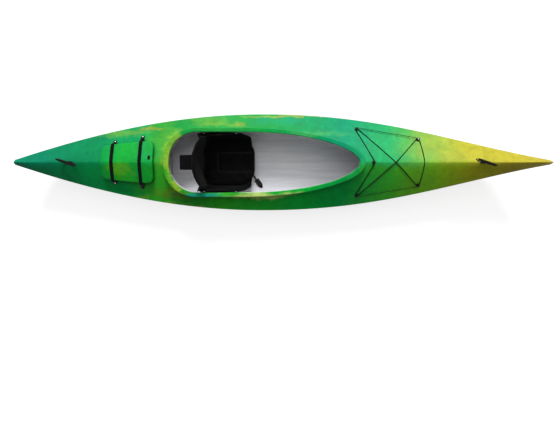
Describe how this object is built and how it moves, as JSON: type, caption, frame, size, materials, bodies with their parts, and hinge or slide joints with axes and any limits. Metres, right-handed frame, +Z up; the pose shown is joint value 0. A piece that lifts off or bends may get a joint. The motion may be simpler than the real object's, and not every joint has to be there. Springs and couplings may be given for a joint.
{
  "type": "touring kayak",
  "caption": "Sit-inside touring kayak for one paddler, with a raised coaming, padded seat and backrest, hinged stern hatch, sliding foot braces, deck rigging and carrying handles.",
  "frame": {"origin": "on the flat of the keel, under the middle of the kayak's length", "axes": "+X runs to the bow, +Y to port and +Z up from the keel"},
  "size_m": [3.81, 0.711, 0.415],
  "materials": {
    "hull_polyethylene": "moulded polyethylene, green blending to yellow at the bow",
    "seat_polyethylene": "moulded, satin black",
    "black_nylon": "moulded, satin black",
    "black_rubber": "matt black",
    "seat_fabric": "woven black cover over foam",
    "webbing": "woven black webbing",
    "black_cord": "braided black cord",
    "grey_foam": "closed-cell foam, matt grey",
    "stainless_steel": "polished stainless steel"
  },
  "bodies": {
    "root": {"hull_shell": "hull_polyethylene", "deck_shell": "hull_polyethylene", "stern_bulkhead": "grey_foam", "bow_pillar": "grey_foam", "seat_pan": "seat_polyethylene", "seat_pad": "seat_fabric", "hip_pad_port": "seat_fabric", "hip_pad_starboard": "seat_fabric", "backrest_rod": "stainless_steel", "back_strap_port": "webbing", "back_strap_starboard": "webbing", "back_strap_buckle_port": "black_nylon", "back_strap_buckle_starboard": "black_nylon", "seat_bolt_aft_port": "stainless_steel", "seat_bolt_aft_starboard": "stainless_steel", "seat_bolt_fore_port": "stainless_steel", "seat_bolt_fore_starboard": "stainless_steel", "seat_strap": "webbing", "seat_strap_buckle": "black_nylon", "seat_strap_end": "webbing", "foot_rail_port": "black_nylon", "foot_rail_starboard": "black_nylon", "hatch_anchor_rear_port": "black_nylon", "hatch_anchor_rear_starboard": "black_nylon", "hatch_anchor_front_port": "black_nylon", "hatch_anchor_front_starboard": "black_nylon", "hatch_buckle_female_rear": "black_nylon", "hatch_buckle_female_front": "black_nylon", "hatch_strap_tab_rear": "webbing", "hatch_strap_tab_front": "webbing", "bow_handle_fairlead": "black_nylon", "stern_handle_fairlead": "black_nylon", "deck_button_aft_port": "black_nylon", "deck_button_aft_starboard": "black_nylon", "deck_button_fore_port": "black_nylon", "deck_button_fore_starboard": "black_nylon", "deck_button_middle": "black_nylon", "deck_bungee": "black_cord", "deck_line_port": "black_cord", "deck_line_starboard": "black_cord"},
    "hatch": {"hatch_lid": "hull_polyethylene", "hatch_gasket": "black_rubber", "hatch_pull_tab": "webbing", "hatch_strap_rear": "webbing", "hatch_strap_front": "webbing", "hatch_buckle_male_rear": "black_nylon", "hatch_buckle_male_front": "black_nylon"},
    "backrest": {"backrest_board": "seat_polyethylene", "backrest_pad": "seat_fabric", "backrest_rear_flap": "seat_fabric"},
    "pedal_port": {"foot_pedal_port": "black_nylon"},
    "pedal_starboard": {"foot_pedal_starboard": "black_nylon"},
    "trigger_port": {"foot_trigger_port": "black_nylon"},
    "trigger_starboard": {"foot_trigger_starboard": "black_nylon"},
    "bow_handle": {"bow_handle_grip": "black_rubber", "bow_handle_cord": "black_cord"},
    "stern_handle": {"stern_handle_grip": "black_rubber", "stern_handle_cord": "black_cord"}
  },
  "joints": [
    {"name": "hatch_hinge", "type": "hinge", "parent": "root", "child": "hatch", "pos_m": [-1.19213, 0.14438, 0.23679], "axis": [-0.9845, -0.172, 0.0343], "range_deg": [0, 110]},
    {"name": "backrest_tilt", "type": "hinge", "parent": "root", "child": "backrest", "pos_m": [-0.591, 0, 0.135], "axis": [0, 1, 0], "range_deg": [-12, 45]},
    {"name": "pedal_port_slide", "type": "slide", "parent": "root", "child": "pedal_port", "axis": [0.9933, -0.1103, 0.033], "range_m": [-0.1, 0.1]},
    {"name": "pedal_starboard_slide", "type": "slide", "parent": "root", "child": "pedal_starboard", "axis": [0.9933, 0.1103, 0.033], "range_m": [-0.1, 0.1]},
    {"name": "trigger_port_press", "type": "hinge", "parent": "pedal_port", "child": "trigger_port", "pos_m": [0.5083, 0.27921, 0.10854], "axis": [-0.1152, -0.9517, 0.2845], "range_deg": [0, 20], "stiffness_Nm_per_rad": 0.2},
    {"name": "trigger_starboard_press", "type": "hinge", "parent": "pedal_starboard", "child": "trigger_starboard", "pos_m": [0.5083, -0.27921, 0.10854], "axis": [0.1152, -0.9517, -0.2845], "range_deg": [0, 20], "stiffness_Nm_per_rad": 0.2},
    {"name": "bow_handle_swing", "type": "hinge", "parent": "root", "child": "bow_handle", "pos_m": [1.43949, 0, 0.3572], "axis": [0.9987, 0, 0.0506], "range_deg": [-50, 50]},
    {"name": "stern_handle_swing", "type": "hinge", "parent": "root", "child": "stern_handle", "pos_m": [-1.50982, 0, 0.28847], "axis": [0.9998, 0, -0.0183], "range_deg": [-50, 50]}
  ]
}
